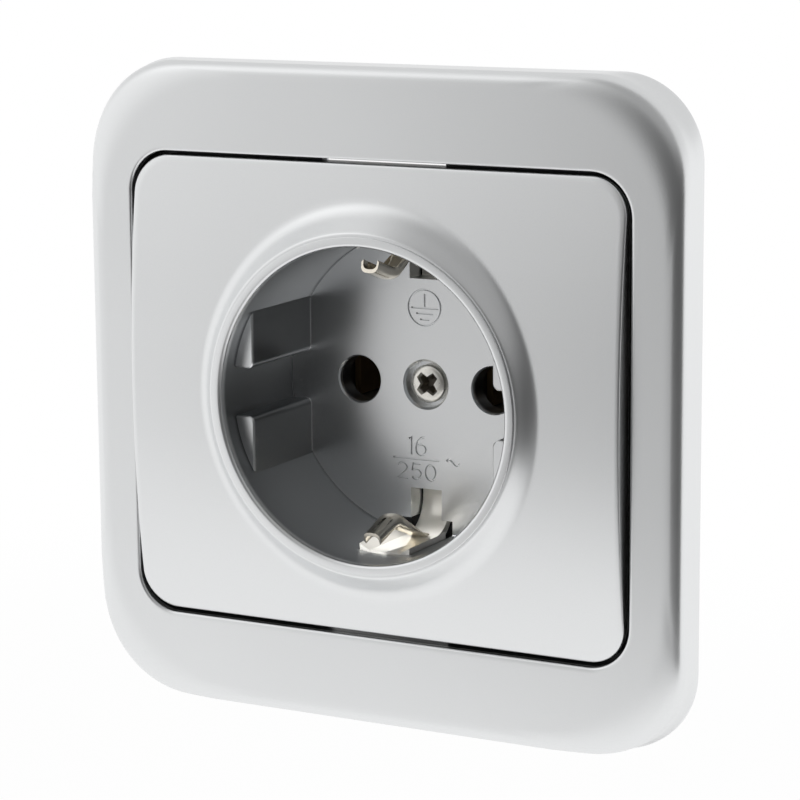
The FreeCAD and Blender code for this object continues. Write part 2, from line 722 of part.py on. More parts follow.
# Contact base: the insulating block in the wall box.
def make_contact_base():
    body = new_body("contact_base")
    wide, tall = BASE_HALF_WIDTH, BASE_HALF_HEIGHT
    outline = new_sketch(body, "XZ_Plane")
    add_rectangle(outline, f"-{wide}", wide, f"-{tall}", tall)
    pad(body, outline, "base_depth", into_wall=True)
    across, up = value(wide), value(tall)
    round_edges(body, lambda edge: runs_back_at(edge, across, up), "base_corner")
    depth = value("base_depth")
    round_edges(body, lambda edge: lies_at_height(edge, -depth), "base_edge", kind="Chamfer")
    well = new_sketch(body, "XZ_Plane")
    add_circle(well, "0", "0", f"{CUP_RADIUS} + seat_play")
    cut(body, well, SEAT_DEPTH)
    rivets = new_sketch(body, "XZ_Plane")
    for side in ("", "-"):
        for high in ("", "-"):
            add_circle(rivets, side + RIVET_PLACE, high + RIVET_PLACE, "rivet_radius + screw_clearance")
    cut(body, rivets, "rivet_length + screw_clearance")

    # Bed for the earth strip, room for its collar and for its tab.
    seat = f"-{SEAT_DEPTH}"
    strip = new_sketch(body, "XZ_Plane", seat)
    neck = "(strip_width / 2 + slot_play)"
    # The bed runs on to where the legs' bend has left it.
    bend_run = "sqrt(strip_thickness * (strip_thickness + 2 * bend_radius))"
    reach = f"({LEG_TOP} - bend_radius + {bend_run} + slot_play)"
    bridge = "(bridge_width / 2 + slot_play)"
    length = "(bridge_length / 2 + slot_play)"
    add_outline(strip, [
        (f"-{bridge}", f"-{length}"), (f"-{neck}", f"-{length}"), (f"-{neck}", f"-{reach}"),
        (neck, f"-{reach}"), (neck, f"-{length}"), (bridge, f"-{length}"),
        (bridge, length), (neck, length), (neck, reach),
        (f"-{neck}", reach), (f"-{neck}", length), (f"-{bridge}", length),
    ])
    cut(body, strip, "strip_thickness")
    collar = new_sketch(body, "XZ_Plane", f"-{BRIDGE_BACK}")
    add_circle(collar, "0", "0", "collar_radius + seat_play")
    cut(body, collar, "screw_length")
    tab = new_sketch(body, "XZ_Plane", f"-{BRIDGE_BACK}")
    tab_half = "(earth_tab_width / 2 + slot_play)"
    tab_low = "-(earth_tab_place + strip_thickness + slot_play)"
    tab_high = "slot_play - earth_tab_place"
    add_rectangle(tab, f"-{tab_half}", tab_half, tab_low, tab_high)
    cut(body, tab, f"{CONTACT_BACK} - {BRIDGE_BACK}")

    # Chambers for the forked contacts, deep enough for a plug's pins.
    leaf = "(leaf_gap / 2 + leaf_thickness + slot_play)"
    for side in ("", "-"):
        centre = f"{side}pin_spacing / 2"
        chamber = new_sketch(body, "XZ_Plane", seat)
        low, high = "-(leaf_drop + slot_play)", "(leaf_rise + leaf_thickness + slot_play)"
        add_rectangle(chamber, f"{centre} - {leaf}", f"{centre} + {leaf}", low, high)
        cut(body, chamber, f"base_depth - base_back_wall - {SEAT_DEPTH}")

    # Terminal bays, open at the back and at the edge: two on top and the earth's below.
    bay = "(tail_width / 2 + terminal_play)"
    screw_hole = "(screw_radius + screw_clearance + seat_play)"
    for centre, sign in (("pin_spacing / 2", ""), ("-pin_spacing / 2", ""), ("0", "-")):
        inner = "leaf_rise - slot_play" if sign == "" else "earth_tab_place - slot_play"
        room = new_sketch(body, "XZ_Plane", "-base_depth")
        left, right = f"{centre} - {bay}", f"{centre} + {bay}"
        add_rectangle(room, left, right, f"{sign}({inner})", f"{sign}({tall} + terminal_play)")
        cut(body, room, f"base_depth - {TAIL_FRONT}", into_wall=False)
        hole = new_sketch(body, "XZ_Plane", f"-{TAIL_FRONT}")
        add_circle(hole, centre, f"{sign}terminal_place", screw_hole)
        cut(body, hole, "terminal_tip + seat_play", into_wall=False)
    return body


# A turned fastener along Y: its head's seat is at a depth, its head stands one way and its shank the other.
# towards is "-" when the head stands forward of its seat and "" when it stands behind it.
def add_fastener(body, head, thickness, shank, length, towards):
    away = "" if towards == "-" else "-"
    profile = new_sketch(body, "XY_Plane")
    add_outline(profile, [
        ("0", f"{towards}({thickness})"), (head, f"{towards}({thickness})"), (head, "0"),
        (shank, "0"), (shank, f"{away}({length})"), ("0", f"{away}({length})"),
    ])
    revolve(body, profile)


# Copies of one fastener at several places, as one group of separate solids.
def make_group(label, pattern, places):
    group = doc.addObject("Part::Compound", label)
    group.Label = label
    copies = []
    for across, back, up in places:
        copy = doc.addObject("App::Link", f"{label}_copy")
        copy.LinkedObject = pattern
        copy.LinkTransform = False
        for axis, text in (("x", across), ("y", back), ("z", up)):
            copy.setExpression(f".LinkPlacement.Base.{axis}", bound(text))
        copies.append(copy)
    group.Links = copies
    doc.recompute()
    return group


def make_ring_rivets():
    rivet = new_body("rivet_pattern")
    length = "ring_thickness + rivet_length"
    add_fastener(rivet, "rivet_head_radius", "rivet_head_thickness", "rivet_radius", length, "-")
    signs = [(side, up) for side in ("", "-") for up in ("", "-")]
    places = [(side + RIVET_PLACE, "-ring_thickness", up + RIVET_PLACE) for side, up in signs]
    return make_group("ring_rivets", rivet, places)


# A straight driver slot across a head's outer face.
def cut_driver_slot(body, face_level, head, into_wall):
    slot = new_sketch(body, "XZ_Plane", face_level)
    add_rectangle(slot, f"-{head}", head, "-driver_slot_width / 2", "driver_slot_width / 2")
    cut(body, slot, "driver_slot_depth", into_wall=into_wall)


def make_terminal_screws():
    screw = new_body("terminal_screw_pattern")
    length = f"{HEAD_FRONT} - {TAIL_FRONT} + terminal_tip"
    add_fastener(screw, "terminal_head_radius", "terminal_head_thickness", "screw_radius", length, "")
    cut_driver_slot(screw, "-terminal_head_thickness", "terminal_head_radius", into_wall=False)
    places = [(centre, HEAD_FRONT, up) for centre, up in TERMINALS.values()]
    return make_group("terminal_screws", screw, places)


def make_claw_screws():
    screw = new_body("claw_screw_pattern")
    length = "ring_thickness + claw_screw_length"
    add_fastener(screw, "claw_screw_head", "claw_screw_head_thickness", "claw_screw_radius", length, "-")
    cut_driver_slot(screw, "claw_screw_head_thickness", "claw_screw_head", into_wall=True)
    places = [(f"{side}{CLAW_SCREW}", "-ring_thickness", f"{side}claw_place") for side in ("", "-")]
    return make_group("claw_screws", screw, places)


TERMINALS = {
    "left": ("-pin_spacing / 2", "terminal_place"),
    "right": ("pin_spacing / 2", "terminal_place"),
    "earth": ("0", "-terminal_place"),
}


# Pin contact: two leaves joined by a web, with a tail that turns up to the terminal.
def make_pin_contact(label, side):
    body = new_body(label)
    centre = f"{side}pin_spacing / 2"
    inner = "leaf_gap / 2"
    outer = "(leaf_gap / 2 + leaf_thickness)"
    web_top = "(leaf_rise + leaf_thickness)"
    fork = new_sketch(body, "XZ_Plane", "-contact_front")
    add_outline(fork, [
        (f"{centre} - {outer}", "-leaf_drop"), (f"{centre} - {inner}", "-leaf_drop"),
        (f"{centre} - {inner}", "leaf_rise"), (f"{centre} + {inner}", "leaf_rise"),
        (f"{centre} + {inner}", "-leaf_drop"), (f"{centre} + {outer}", "-leaf_drop"),
        (f"{centre} + {outer}", web_top), (f"{centre} - {outer}", web_top),
    ])
    pad(body, fork, f"{CONTACT_BACK} - contact_front", into_wall=True)
    tail = new_sketch(body, "XZ_Plane", f"-{TAIL_FRONT}")
    half = "tail_width / 2"
    add_rectangle(tail, f"{centre} - {half}", f"{centre} + {half}", "leaf_rise", "leaf_rise + tail_length")
    pad(body, tail, "tail_thickness", into_wall=True)
    hole = new_sketch(body, "XZ_Plane", f"-{TAIL_FRONT}")
    add_circle(hole, centre, "terminal_place", "screw_radius + screw_clearance")
    cut(body, hole, "tail_thickness")
    return body


def make_clamp_plate(label, centre, up):
    body = new_body(label)
    plate = new_sketch(body, "XZ_Plane", f"-{CLAMP_FRONT}")
    half = "clamp_side / 2"
    add_rectangle(plate, f"{centre} - {half}", f"{centre} + {half}", f"{up} - {half}", f"{up} + {half}")
    add_circle(plate, centre, up, "screw_radius + seat_play")
    pad(body, plate, "clamp_thickness", into_wall=True)
    return body


# Spreader claw: a strip beside the base with two ears at the ring, a tab for its screw and a toothed foot.
def make_claw(label, side):
    body = new_body(label)
    up = f"{side}claw_place"
    inner, outer = CLAW_INNER, CLAW_OUTER
    reach = f"({outer} + claw_tab_reach)"
    tab_back = "(claw_tab_front + claw_thickness)"
    foot_start = f"{CLAW_END} - 2 * claw_foot"
    strip = new_sketch(body, "XY_Plane", up)
    add_outline(strip, [
        (f"{side}{inner}", "claw_play"),
        (f"{side}{outer}", "claw_play"),
        (f"{side}{outer}", foot_start),
        (f"{side}({outer} + claw_foot)", CLAW_END),
        (f"{side}({inner} + claw_foot)", CLAW_END),
        (f"{side}{inner}", foot_start),
    ])
    pad_both_ways(body, strip, "claw_width")
    # The ears stand either side of the gap that the tab leaves where it is folded out.
    gap = new_sketch(body, "XY_Plane", up)
    near_side, far_side = f"{side}({inner} - claw_play)", f"{side}({outer} + claw_play)"
    add_rectangle(gap, near_side, far_side, "0", "claw_tab_front")
    cut(body, gap, "claw_tab_width", both_ways=True)
    # A window lets the strip swing past its screw.
    window = new_sketch(body, "XY_Plane", up)
    add_rectangle(window, near_side, far_side, tab_back, "claw_screw_length + claw_foot")
    cut(body, window, "2 * (claw_screw_radius + claw_swing_play)", both_ways=True)
    tab = new_sketch(body, "XY_Plane", up)
    add_rectangle(tab, f"{side}{inner}", f"{side}{reach}", "claw_tab_front", tab_back)
    pad_both_ways(body, tab, "claw_tab_width")
    hole = new_sketch(body, "XZ_Plane", "-claw_tab_front")
    slot_centre = f"{side}({CLAW_SCREW} - claw_play)"
    add_slot(hole, slot_centre, up, "claw_swing_play", "(claw_screw_radius + claw_play)")
    cut(body, hole, "claw_thickness")
    teeth = new_sketch(body, "YZ_Plane", f"{side}{inner}")
    for step in ("-1", "0", "1"):
        mid = f"{up} + {step} * claw_width / 3"
        add_outline(teeth, [
            (f"{CLAW_END} + claw_play", f"{mid} - claw_tooth / 2"),
            (f"{CLAW_END} + claw_play", f"{mid} + claw_tooth / 2"),
            (f"{CLAW_END} - claw_tooth", mid),
        ])
    cut(body, teeth, "4 * (claw_thickness + claw_foot)", both_ways=True)
    return body


def build():
    nodes = [
        make_cover_frame(),
        make_centre_plate(),
        make_centre_screw(),
        make_earth_bracket(),
        make_earth_spring("earth_spring_top", ""),
        make_earth_spring("earth_spring_bottom", "-"),
        make_support_ring(),
        make_contact_base(),
        make_ring_rivets(),
        make_pin_contact("pin_contact_left", "-"),
        make_pin_contact("pin_contact_right", ""),
        make_terminal_screws(),
        make_claw("claw_left", "-"),
        make_claw("claw_right", ""),
        make_claw_screws(),
    ]
    for name, (centre, up) in TERMINALS.items():
        nodes.append(make_clamp_plate(f"clamp_plate_{name}", centre, up))
    return nodes


def write(nodes):
    doc.recompute()
    for item in doc.Objects:
        if "Invalid" in item.State or "Error" in item.State:
            raise RuntimeError(f"{item.Label} failed: {item.State}")
    for node in nodes:
        if node.Shape.isNull() or not node.Shape.isValid():
            raise RuntimeError(f"{node.Label} has no valid shape")
    os.makedirs("parts", exist_ok=True)
    for node in nodes:
        node.Shape.exportStep(f"parts/{node.Label}.step")
        print(f"{node.Label}: {len(node.Shape.Solids)} solids, {node.Shape.Volume:.1f} mm3")


write(build())
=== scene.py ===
# %% [markdown]
# # A type F wall socket in satin silver
# The real thing is a small assembly: a moulded frame, a bowed centre plate with the round recess for the
# plug, sprung earth contacts at its top and bottom, and a dark insulating base that sits in the wall box.
# The measured parts come from the CAD frame. This notebook gives them their finish, and builds finer
# pieces where the eye gets close.

# %% Load the measured parts
import bpy
import bmesh
import math
from mathutils import Matrix, Vector


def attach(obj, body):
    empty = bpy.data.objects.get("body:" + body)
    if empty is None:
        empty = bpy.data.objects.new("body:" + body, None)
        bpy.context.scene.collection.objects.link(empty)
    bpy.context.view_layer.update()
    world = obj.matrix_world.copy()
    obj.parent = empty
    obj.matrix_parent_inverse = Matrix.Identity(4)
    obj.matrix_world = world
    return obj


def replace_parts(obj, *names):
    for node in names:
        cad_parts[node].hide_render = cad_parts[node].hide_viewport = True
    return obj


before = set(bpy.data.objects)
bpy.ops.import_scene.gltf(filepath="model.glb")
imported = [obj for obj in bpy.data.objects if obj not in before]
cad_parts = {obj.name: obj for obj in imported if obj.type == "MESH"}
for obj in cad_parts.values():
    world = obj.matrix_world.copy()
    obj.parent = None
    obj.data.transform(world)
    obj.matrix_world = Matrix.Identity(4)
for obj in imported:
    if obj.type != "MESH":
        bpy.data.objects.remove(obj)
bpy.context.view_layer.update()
MM = 0.001

# %% [markdown]
# ## Camera
# The view is from the right and a little above, with a long lens. X runs right, Y into the wall and Z up.
# A camera looks along its own -Z, so its three axes are the columns of its rotation.

# %% Camera
AZIMUTH, ELEVATION, ROLL = (math.radians(a) for a in (28.33, 10.69, -0.42))
DISTANCE, LENS = 364.0 * MM, 132.9
AIM = Vector((0.732, 0.0, -0.513)) * MM
back = Vector((math.sin(AZIMUTH) * math.cos(ELEVATION), -math.cos(AZIMUTH) * math.cos(ELEVATION),
               math.sin(ELEVATION)))
level = Vector((0, 0, 1)).cross(back).normalized()
plumb = back.cross(level)
right = level * math.cos(ROLL) + plumb * math.sin(ROLL)
up = plumb * math.cos(ROLL) - level * math.sin(ROLL)

camera = bpy.data.objects.new("camera", bpy.data.cameras.new("camera"))
camera.data.lens, camera.data.sensor_width = LENS, 36.0
turned = Matrix((right, up, back)).transposed().to_4x4()
camera.matrix_world = Matrix.Translation(AIM + back * DISTANCE) @ turned
bpy.context.scene.collection.objects.link(camera)
bpy.context.scene.camera = camera
print("camera stands at mm", [round(v / MM, 1) for v in camera.matrix_world.translation])

# %% [markdown]
# ## Shader arithmetic
# Shader trees are easier to read as sums than as boxes and lines. A Wire holds one output socket, and the
# usual operators make Math nodes from it. Its node method makes any other node.

# %% Wire
class Wire:
    """One output socket of a shader tree, which can be reckoned with like a number."""

    def __init__(self, tree, socket=None):
        self.tree, self.socket = tree, socket

    def node(self, kind, settings=None, values=None, out=0):
        made = self.tree.nodes.new(kind)
        for name, value in (settings or {}).items():
            setattr(made, name, value)
        for key, value in (values or {}).items():
            if isinstance(value, Wire):
                self.tree.links.new(value.socket, made.inputs[key])
            else:
                made.inputs[key].default_value = value
        return Wire(self.tree, made.outputs[out]) if len(made.outputs) else made

    def reckon(self, operation, *terms):
        return self.node("ShaderNodeMath", {"operation": operation}, dict(enumerate(terms)))

    def most(self, other):
        return self.reckon("MAXIMUM", self, other)

    def __abs__(self):
        return self.reckon("ABSOLUTE", self)

    def __add__(self, other):
        return self.reckon("ADD", self, other)

    def __sub__(self, other):
        return self.reckon("SUBTRACT", self, other)

    def __rsub__(self, other):
        return self.reckon("SUBTRACT", other, self)

    def __mul__(self, other):
        return self.reckon("MULTIPLY", self, other)

    def __pow__(self, other):
        return self.reckon("POWER", self, other)

    __radd__, __rmul__ = __add__, __mul__

    def step(self, start, end, low=0.0, high=1.0):
        """A soft step: low up to start, high from end on."""
        return self.node("ShaderNodeMapRange", {"interpolation_type": "SMOOTHSTEP"},
                         {0: self, 1: start, 2: end, 3: low, 4: high})

    def mix(self, first, second):
        """The colour first where the wire is 0, and second where it is 1."""
        return self.node("ShaderNodeMix", {"data_type": "RGBA"}, {0: self, 6: first, 7: second}, out=2)


def grey(value):
    return (value, value, value, 1.0)


print("Wire knows", [name for name in vars(Wire) if not name.startswith("_")])

# %% [markdown]
# ## Studio
# Satin metal looks like what is around it. Behind the socket everything is white. At the front there is a
# large white reflector on the left, and a dark room on the right that gets lighter higher up. The world
# paints these by direction, which needs no extra lamps, and the camera itself sees plain white.

# %% World
scene = bpy.context.scene
scene.view_settings.view_transform = "Standard"
scene.world = bpy.data.worlds.new("studio")
scene.world.use_nodes = True
tree = scene.world.node_tree
tree.nodes.clear()
w = Wire(tree)
direction = w.node("ShaderNodeTexCoord", out="Generated")
along = {axis: w.node("ShaderNodeSeparateXYZ", None, {0: direction}, out=axis) for axis in "XYZ"}
LEAN, LEVEL = 0.08, -0.19
DARK, LIGHTER, CEILING = 0.09, 0.3, 0.22
leaning = along["X"] - LEAN * (along["Z"] - LEVEL)
reflector = leaning.step(-0.22, -0.58)
dark = DARK + along["Z"].step(0.12, 0.5, 0.0, LIGHTER)
ahead = reflector + (1.0 - reflector) * dark
behind = along["Y"].step(-0.11, -0.06)
above = along["Z"].step(0.10, 0.45)
room = behind * (1.0 - CEILING * above) + (1.0 - behind) * ahead
camera_ray = w.node("ShaderNodeLightPath", out="Is Camera Ray")
seen = camera_ray + (1.0 - camera_ray) * room
shade = seen.node("ShaderNodeCombineColor", None, {0: seen, 1: seen, 2: seen})
light = w.node("ShaderNodeBackground", None, {"Color": shade, "Strength": 1.0})
light.node("ShaderNodeOutputWorld", None, {"Surface": light})
print("world tree has", len(tree.nodes), "nodes")

# %% [markdown]
# The floor is a round, pale sheet about 5 cm below the socket. For the camera and for reflections it is
# drawn almost purely white, with only a trace of shadow, so it runs into the background without an edge.

# %% Floor
SHEET_Z, REACH, MIDDLE = -90 * MM, 0.28, (-0.10, 0.05)


def full_turn(count):
    return [2 * math.pi * i / count for i in range(count)]


rim = [(MIDDLE[0] + REACH * math.cos(a), MIDDLE[1] + REACH * math.sin(a), SHEET_Z) for a in full_turn(96)]
sheet = bpy.data.meshes.new("floor")
sheet.from_pydata(rim, [], [list(range(len(rim)))])
floor = bpy.data.objects.new("floor", sheet)
scene.collection.objects.link(floor)
paper = bpy.data.materials.new("pale_paper")
paper.use_nodes = True
paper.node_tree.nodes.clear()
p = Wire(paper.node_tree)
matt = p.node("ShaderNodeBsdfDiffuse", None, {"Color": grey(0.88)})
glow = p.node("ShaderNodeEmission", None, {"Color": grey(1.0), "Strength": 1.0})
RAYS = ("Is Camera Ray", "Is Glossy Ray", "Is Transmission Ray")
looks = [p.node("ShaderNodeLightPath", out=name) for name in RAYS]
direct = looks[0].reckon("MINIMUM", looks[0] + looks[1] + looks[2], 1.0)
place = p.node("ShaderNodeTexCoord", out="Object")
far = {axis: p.node("ShaderNodeSeparateXYZ", None, {0: place}, out=axis) for axis in "XY"}
from_middle = ((far["X"] - MIDDLE[0]) ** 2 + (far["Y"] - MIDDLE[1]) ** 2) ** 0.5
white = direct * from_middle.step(0.10, 0.26, 0.97, 1.0)
drawn = p.node("ShaderNodeMixShader", None, {0: white, 1: matt, 2: glow})
drawn.node("ShaderNodeOutputMaterial", None, {"Surface": drawn})
sheet.materials.append(paper)
print("floor lies at mm", round(SHEET_Z / MM), "and reaches mm", round(REACH / MM))

# %% [markdown]
# One large soft lamp from the upper left gives the diffuse parts some shape. A narrow lamp beside it reaches
# into the recess and lights the lower earth contact there. A lamp shines along its own -Z.

# %% Lamps
def lamp(name, kind, place, target, **settings):
    """A lamp that looks at a target."""
    made = bpy.data.objects.new(name, bpy.data.lights.new(name, kind))
    for key, value in settings.items():
        setattr(made.data, key, value)
    made.location = place
    made.rotation_euler = (target - made.location).to_track_quat("-Z", "Y").to_euler()
    scene.collection.objects.link(made)
    print(name, "gives watt", round(made.data.energy, 2))


lamp("softbox", "AREA", Vector((-0.55, -0.6, 0.65)), Vector((0, 0, 0)), shape="DISK", size=0.6, energy=0.2)

LIT = Vector((-0.2, 2.0, -18.9)) * MM
FROM, AWAY = Vector((-0.42, -0.6, 0.68)), 0.36
lamp("snoot", "SPOT", LIT + FROM.normalized() * AWAY, LIT, energy=13.0, spot_size=math.radians(1.6),
     spot_blend=0.35, shadow_soft_size=0.002)

# %% [markdown]
# ## Finishes
# Every finish is a small node tree read from the object's own coordinates, so it needs no picture and no
# unwrapping. A Principled shader stands at the end of each tree. What varies over the surface goes into its
# colour, metallic share, roughness and normal, and nothing else does.

# %% Finish helpers
def finish_of(name):
    """A new material, the start wire of its tree, and its coordinates in metres."""
    made = bpy.data.materials.new(name)
    made.use_nodes = True
    made.node_tree.nodes.clear()
    start = Wire(made.node_tree)
    return made, start, start.node("ShaderNodeTexCoord", out="Object")


def lay(start, **inputs):
    """Puts a Principled shader at the end of the tree."""
    named = {key.replace("_", " ").title(): value for key, value in inputs.items()}
    shader = start.node("ShaderNodeBsdfPrincipled", None, named)
    shader.node("ShaderNodeOutputMaterial", None, {"Surface": shader})


def noise(start, place, scale):
    return start.node("ShaderNodeTexNoise", None, {"Vector": place, "Scale": scale, "Detail": 2.0})


def bumps(start, height, depth):
    return start.node("ShaderNodeBump", None, {"Strength": 1.0, "Distance": depth, "Height": height})


def axes(start, place):
    return [start.node("ShaderNodeSeparateXYZ", None, {0: place}, out=axis) for axis in "XYZ"]


def past(distance, start, end):
    """A soft step over a distance, from 0 at start to 1 at end in millimetres."""
    return distance.step(start * MM, end * MM)


print("materials before the finishes:", len(bpy.data.materials))

# %% [markdown]
# The frame and the plate are moulded, then sprayed with satin silver. The flakes give a metal's mirror with a
# broad, soft lobe and a very fine sparkle. The walls and ribs of the recess carry painted shade: a darker
# base colour. The pin holes and the gap round the plate carry painted shade too, nearly black and hardly
# metallic. That is a choice for the look. Radius and depth tell where they are.

# %% Silver lacquer
def grown(outline, by):
    """Half width, half height and corner radius of an outline moved out on all sides."""
    return tuple(size + by for size in outline)


PLATE, GAP = (33.65, 29.05, 4.75), 0.55
OPENING = grown(PLATE, GAP)
RECESS, RIM_Y, RIB_FRONT, FLOOR_Y = 19.5, -9.3, -6.3, 8.2
silver, s, at = finish_of("silver_lacquer")
across, depth, height = axes(s, at)
radius = (across * across + height * height) ** 0.5
in_hole = past(depth, FLOOR_Y + 0.3, FLOOR_Y + 0.9) * past(abs(across), 4.0, 5.0)
wide, tall, _ = OPENING
in_opening = past(abs(across), wide + 0.6, wide + 0.2) * past(abs(height), tall + 0.6, tall + 0.2)
in_gap = in_opening * past(radius, 22.5, 23.0) * past(depth, -5.2, -4.7)
# Painted shade: the pin holes and the gap round the plate are drawn nearly black and hardly metallic.
painted_shade_holes = in_hole.most(in_gap)
on_wall = past(radius, RECESS - 0.2, RECESS - 0.1) * past(depth, RIM_Y + 0.6, RIM_Y + 1.3)
on_rib = past(depth, RIB_FRONT + 0.1, RIB_FRONT + 0.6)
over_floor = past(depth, FLOOR_Y - 0.02, FLOOR_Y - 0.2)
# Painted shade: the walls and ribs of the recess get a darker base colour.
painted_shade_walls = past(radius, RECESS + 0.3, RECESS + 0.1) * on_wall.most(on_rib * over_floor)
flake = noise(s, at, 9000.0)
cloud = noise(s, at, 45.0)
sprayed = flake.mix((0.79, 0.80, 0.805, 1), (0.84, 0.85, 0.855, 1))
lacquer_with_painted_shade = painted_shade_walls.mix(sprayed, (0.29, 0.30, 0.31, 1))
lay(s, base_color=painted_shade_holes.mix(lacquer_with_painted_shade, (0.03, 0.03, 0.032, 1)), metallic=1.0 - 0.9 * painted_shade_holes,
    roughness=0.30 + 0.05 * cloud, normal=bumps(s, noise(s, at, 5200.0), 0.006 * MM))
print("opening in mm", [round(v, 2) for v in OPENING], "and lacquer nodes", len(silver.node_tree.nodes))

# %% [markdown]
# The other metal parts are strip. Nickel has a warm cast and nearly mirrors, zinc plate is bluer and cloudy,
# and old brass is dull and brown. The satin nickel of the earth bracket is drawn only partly metallic, which
# is a choice for the look: a full mirror would show little but the dark recess.

# %% Metals
nickel, s, at = finish_of("nickel_plate")
lay(s, base_color=noise(s, at, 300.0).mix((0.70, 0.65, 0.56, 1), (0.79, 0.74, 0.65, 1)), metallic=1.0,
    roughness=0.09 + 0.07 * noise(s, at, 900.0), normal=bumps(s, noise(s, at, 1400.0), 0.01 * MM))

satin, s, at = finish_of("nickel_satin")
lay(s, base_color=noise(s, at, 300.0).mix((0.86, 0.84, 0.78, 1), (0.93, 0.91, 0.86, 1)), metallic=0.35,
    roughness=0.20 + 0.06 * noise(s, at, 900.0), normal=bumps(s, noise(s, at, 900.0), 0.003 * MM))

zinc, s, at = finish_of("zinc_steel")
lay(s, base_color=noise(s, at, 400.0).mix((0.52, 0.53, 0.55, 1), (0.66, 0.67, 0.68, 1)), metallic=1.0,
    roughness=0.28 + 0.14 * noise(s, at, 700.0), normal=bumps(s, noise(s, at, 2500.0), 0.01 * MM))

brass, s, at = finish_of("contact_brass")
lay(s, base_color=noise(s, at, 400.0).mix((0.30, 0.21, 0.10, 1), (0.42, 0.31, 0.15, 1)), metallic=1.0,
    roughness=0.42 + 0.12 * noise(s, at, 900.0), normal=bumps(s, noise(s, at, 2500.0), 0.01 * MM))
print("metals:", [metal.name for metal in (nickel, satin, zinc, brass)])

# %% [markdown]
# The screws and rivets are pale steel with a fine grain. The centre screw's cross recess carries painted
# shade: it turns dark brown, rougher and less metallic with depth, so that the cross can be read from the
# front.

# %% Screw steel
steel, s, at = finish_of("screw_steel")
lay(s, base_color=noise(s, at, 700.0).mix((0.74, 0.72, 0.66, 1), (0.86, 0.84, 0.78, 1)), metallic=1.0,
    roughness=0.26 + 0.12 * noise(s, at, 1500.0), normal=bumps(s, noise(s, at, 3000.0), 0.01 * MM))

cross_steel, s, at = finish_of("cross_steel")
across, depth, height = axes(s, at)
radius = (across * across + height * height) ** 0.5
# Painted shade: darker, rougher and less metallic deeper in the cross recess.
painted_shade_cross = past(depth, 8.78, 9.1) * past(radius, 1.85, 1.75)
unshaded_steel = noise(s, at, 700.0).mix((0.90, 0.88, 0.81, 1), (0.97, 0.95, 0.89, 1))
lay(s, base_color=painted_shade_cross.mix(unshaded_steel, (0.10, 0.085, 0.06, 1)), metallic=0.9 - 0.7 * painted_shade_cross,
    roughness=0.24 + 0.10 * noise(s, at, 1500.0) + 0.2 * painted_shade_cross,
    normal=bumps(s, noise(s, at, 2200.0), 0.012 * MM))
print("screw finishes:", steel.name, cross_steel.name)

# %% [markdown]
# The base is a pressed thermoset: nearly black, hard, with a fine eggshell from the press tool.

# %% Thermoset
thermoset, s, at = finish_of("base_plastic")
lay(s, base_color=noise(s, at, 2500.0).mix((0.030, 0.031, 0.033, 1), (0.045, 0.046, 0.048, 1)),
    roughness=0.42 + 0.12 * noise(s, at, 1200.0), normal=bumps(s, noise(s, at, 1800.0), 0.02 * MM))
print("base finish:", thermoset.name)

# %% [markdown]
# ## Mesh helpers
# Three ideas build every piece below. A skin joins loops of points with quads, a turned shape is a skin of
# circles, and a carved piece has other closed shapes cut out of it or joined on. Points are written in
# millimetres.

# %% Skins and carving
def skin(loops, ring=False):
    """Quads between loops of equally many points. A ring joins last to first, else the ends are capped."""
    count, points, faces = len(loops[0]), [p for loop in loops for p in loop], []
    for k in range(len(loops) - (not ring)):
        a, b = k * count, (k + 1) % len(loops) * count
        faces += [(a + i, a + (i + 1) % count, b + (i + 1) % count, b + i) for i in range(count)]
    if not ring:
        faces += [tuple(range(count)), tuple(range(len(points) - count, len(points)))]
    return points, faces


def turn(profile, x=0.0, z=0.0, count=64):
    """A shape turned about an axis along Y, from pairs of radius and depth."""
    angles = full_turn(count)
    return skin([[(x + r * math.cos(a), y, z + r * math.sin(a)) for a in angles] for r, y in profile])


def block(low, high):
    (x, y, z), (u, v, w) = low, high
    return skin([[(x, d, z), (u, d, z), (u, d, w), (x, d, w)] for d in (y, v)])


def solid(name, *shapes):
    """One mesh object made of closed shapes, with all faces looking outwards."""
    points, faces = [], []
    for some_points, some_faces in shapes:
        faces += [tuple(i + len(points) for i in face) for face in some_faces]
        points += some_points
    mesh = bpy.data.meshes.new(name)
    mesh.from_pydata([Vector(p) * MM for p in points], [], faces)
    work = bmesh.new()
    work.from_mesh(mesh)
    bmesh.ops.recalc_face_normals(work, faces=work.faces)
    work.to_mesh(mesh)
    work.free()
    made = bpy.data.objects.new(name, mesh)
    scene.collection.objects.link(made)
    return made


def carve(piece, tool, operation="DIFFERENCE"):
    """Cuts the tool out of the piece, or joins it on, and keeps the result as a plain mesh."""
    step = piece.modifiers.new("carve", "BOOLEAN")
    step.object, step.operation, step.solver, step.use_self = tool, operation, "EXACT", True
    shown = piece.evaluated_get(bpy.context.evaluated_depsgraph_get())
    result = bpy.data.meshes.new_from_object(shown)
    piece.modifiers.remove(step)
    piece.data = result
    bpy.data.objects.remove(tool)


def dress(piece, finish, crease=32, body="socket"):
    """Smooth shading with sharp edges above the crease angle, a finish, and a body to ride on."""
    piece.data.materials.clear()
    piece.data.materials.append(finish)
    piece.data.shade_smooth()
    piece.data.set_sharp_from_angle(angle=math.radians(crease))
    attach(piece, body)
    print(piece.name, "has", len(piece.data.polygons), "faces")


print("a block is a skin of", len(block((0, 0, 0), (1, 1, 1))[1]), "faces")

# %% [markdown]
# ## Frame
# The moulded frame has one section all round: a side wall, a rolled-over edge, a flat face, and the lip and
# ledge that hold the plate. Along the straight sides a crisp line parts wall and roll, and at the corners the
# two melt into one wide round. So the outer edge is blended point by point between two profiles.

